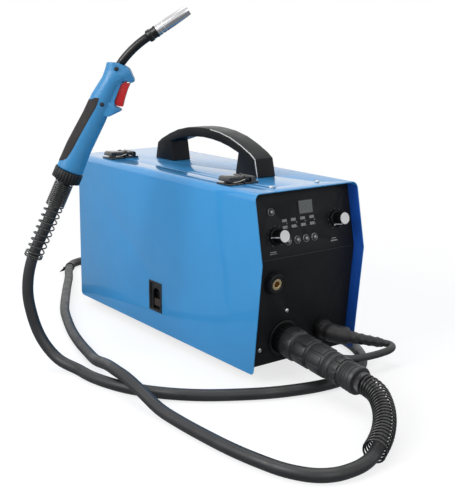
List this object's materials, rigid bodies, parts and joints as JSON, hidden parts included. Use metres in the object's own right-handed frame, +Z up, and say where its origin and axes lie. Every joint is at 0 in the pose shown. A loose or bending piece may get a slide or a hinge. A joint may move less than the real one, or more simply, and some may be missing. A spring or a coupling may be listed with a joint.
{
  "type": "portable inverter mig welder with torch",
  "caption": "Portable wire-feed inverter welder: blue folded case, black control panel, carry handle, torch on its lead and a short polarity lead.",
  "frame": {"origin": "on the floor, under the middle of the case", "axes": "+Z up; the control panel faces -Y; +X is to the right seen from the front; the door is on -X"},
  "size_m": [0.4733, 1.0574, 0.5285],
  "materials": {
    "blue_paint": "semi-gloss",
    "black_panel": "satin",
    "sheet_steel": "matt",
    "zinc_plate": "zinc plated",
    "foot_rubber": "matt",
    "black_plastic": "fine grain",
    "window": "clear over grey",
    "brass": "machined",
    "grey_plastic": "ribbed",
    "lead_rubber": "matt",
    "spring_wire": "black oxide",
    "torch_blue": "satin",
    "red_plastic": "gloss",
    "nozzle_chrome": "plated",
    "copper": "copper",
    "board_green": "solder mask",
    "cast_alloy": "as extruded",
    "steel_dark": "machined",
    "wire_steel": "coppered wire"
  },
  "bodies": {
    "case": {"base_tray": "sheet_steel", "rubber_feet": "foot_rubber", "right_cover": "blue_paint", "front_panel": "black_panel", "rear_panel": "black_panel", "partition": "zinc_plate", "carry_handle": "black_plastic", "case_screws": "zinc_plate", "latch_bases": "black_plastic", "display_window": "window", "welding_wire": "wire_steel", "socket_bodies": "black_plastic", "socket_contacts": "brass", "polarity_plug": "black_plastic", "polarity_boot": "lead_rubber", "polarity_lead": "lead_rubber", "euro_socket": "black_plastic", "euro_plug": "grey_plastic", "lead_collar": "grey_plastic", "connector_guard": "spring_wire", "torch_lead": "lead_rubber", "gun_guard": "spring_wire", "gun_collar": "black_plastic", "gun_shell_left": "torch_blue", "gun_shell_right": "torch_blue", "swan_neck": "black_plastic", "neck_insulator": "black_plastic", "gas_nozzle": "nozzle_chrome", "contact_tip": "copper", "inverter_board": "board_green", "heat_sink": "cast_alloy", "fan_frame": "black_plastic", "control_board": "board_green", "feeder_plate": "cast_alloy", "feed_motor": "steel_dark", "spool_hub": "black_plastic", "switch_frame": "black_plastic", "rear_fittings": "brass", "gun_screws": "steel_dark"},
    "door": {"left_door": "blue_paint", "hinge_leaves": "sheet_steel", "latch_keepers": "black_plastic", "door_cup": "black_plastic"},
    "lever_front": {"latch_lever_front": "black_plastic"},
    "lever_rear": {"latch_lever_rear": "black_plastic"},
    "knob_left": {"knob_left": "black_plastic"},
    "knob_right": {"knob_right": "black_plastic"},
    "key_inch": {"button_inch": "black_plastic"},
    "key_1": {"button_1": "black_plastic"},
    "key_2": {"button_2": "black_plastic"},
    "key_3": {"button_3": "black_plastic"},
    "key_4": {"button_4": "black_plastic"},
    "nut": {"coupling_nut": "black_plastic"},
    "trigger": {"trigger": "red_plastic"},
    "fan": {"fan_rotor": "black_plastic"},
    "drive": {"drive_roll": "steel_dark"},
    "arm": {"pressure_arm": "black_plastic"},
    "press": {"pressure_roll": "steel_dark"},
    "spool": {"wire_spool": "wire_steel"},
    "rocker": {"switch_rocker": "red_plastic"}
  },
  "joints": [
    {"name": "door_swing", "type": "hinge", "parent": "case", "child": "door", "pos_m": [-0.092, 0, 0.019], "axis": [0, -1, 0], "range_deg": [0, 50]},
    {"name": "latch_front_lift", "type": "hinge", "parent": "case", "child": "lever_front", "pos_m": [-0.043, -0.17, 0.2835], "axis": [0, 1, 0], "range_deg": [0, 100]},
    {"name": "latch_rear_lift", "type": "hinge", "parent": "case", "child": "lever_rear", "pos_m": [-0.043, 0.17, 0.2835], "axis": [0, 1, 0], "range_deg": [0, 100]},
    {"name": "knob_left_turn", "type": "hinge", "parent": "case", "child": "knob_left", "pos_m": [-0.052, -0.24971, 0.2095], "axis": [0, -0.9835, 0.1807], "range_deg": [-150, 150]},
    {"name": "knob_right_turn", "type": "hinge", "parent": "case", "child": "knob_right", "pos_m": [0.065, -0.2476, 0.221], "axis": [0, -0.9835, 0.1807], "range_deg": [-150, 150]},
    {"name": "key_inch_press", "type": "slide", "parent": "case", "child": "key_inch", "axis": [0, 0.9835, -0.1807], "range_m": [0, 0.001], "stiffness_N_per_m": 1200, "springref_m": -0.0004},
    {"name": "key_1_press", "type": "slide", "parent": "case", "child": "key_1", "axis": [0, 0.9835, -0.1807], "range_m": [0, 0.001], "stiffness_N_per_m": 1200, "springref_m": -0.0004},
    {"name": "key_2_press", "type": "slide", "parent": "case", "child": "key_2", "axis": [0, 0.9835, -0.1807], "range_m": [0, 0.001], "stiffness_N_per_m": 1200, "springref_m": -0.0004},
    {"name": "key_3_press", "type": "slide", "parent": "case", "child": "key_3", "axis": [0, 0.9835, -0.1807], "range_m": [0, 0.001], "stiffness_N_per_m": 1200, "springref_m": -0.0004},
    {"name": "key_4_press", "type": "slide", "parent": "case", "child": "key_4", "axis": [0, 0.9835, -0.1807], "range_m": [0, 0.001], "stiffness_N_per_m": 1200, "springref_m": -0.0004},
    {"name": "nut_turn", "type": "hinge", "parent": "case", "child": "nut", "pos_m": [-0.031, -0.25084, 0.05302], "axis": [0, -0.994, -0.1091], "range_deg": [0, 720]},
    {"name": "trigger_pull", "type": "hinge", "parent": "case", "child": "trigger", "pos_m": [-0.20556, -0.09208, 0.426], "axis": [0.5962, 0.8028, 0], "range_deg": [0, 6], "stiffness_Nm_per_rad": 2.5, "springref_deg": -1.72},
    {"name": "fan_spin", "type": "hinge", "parent": "case", "child": "fan", "pos_m": [0.04425, 0.231, 0.164], "axis": [0, 1, 0], "continuous": true},
    {"name": "drive_roll_spin", "type": "hinge", "parent": "case", "child": "drive", "pos_m": [-0.031, -0.11706, 0.05221], "axis": [1, 0, 0], "continuous": true},
    {"name": "pressure_arm_lift", "type": "hinge", "parent": "case", "child": "arm", "pos_m": [-0.031, -0.08545, 0.09421], "axis": [-1, 0, 0], "range_deg": [0, 40]},
    {"name": "pressure_roll_spin", "type": "hinge", "parent": "arm", "child": "press", "pos_m": [-0.031, -0.12015, 0.08034], "axis": [1, 0, 0], "continuous": true},
    {"name": "spool_spin", "type": "hinge", "parent": "case", "child": "spool", "pos_m": [-0.0615, 0.12, 0.1295], "axis": [1, 0, 0], "continuous": true},
    {"name": "switch_rock", "type": "hinge", "parent": "case", "child": "rocker", "pos_m": [-0.058, 0.2435, 0.219], "axis": [1, 0, 0], "range_deg": [0, 16]}
  ],
  "couplings": [
    {"joint": "pressure_roll_spin", "follows": "drive_roll_spin", "ratio": -1.2}
  ]
}
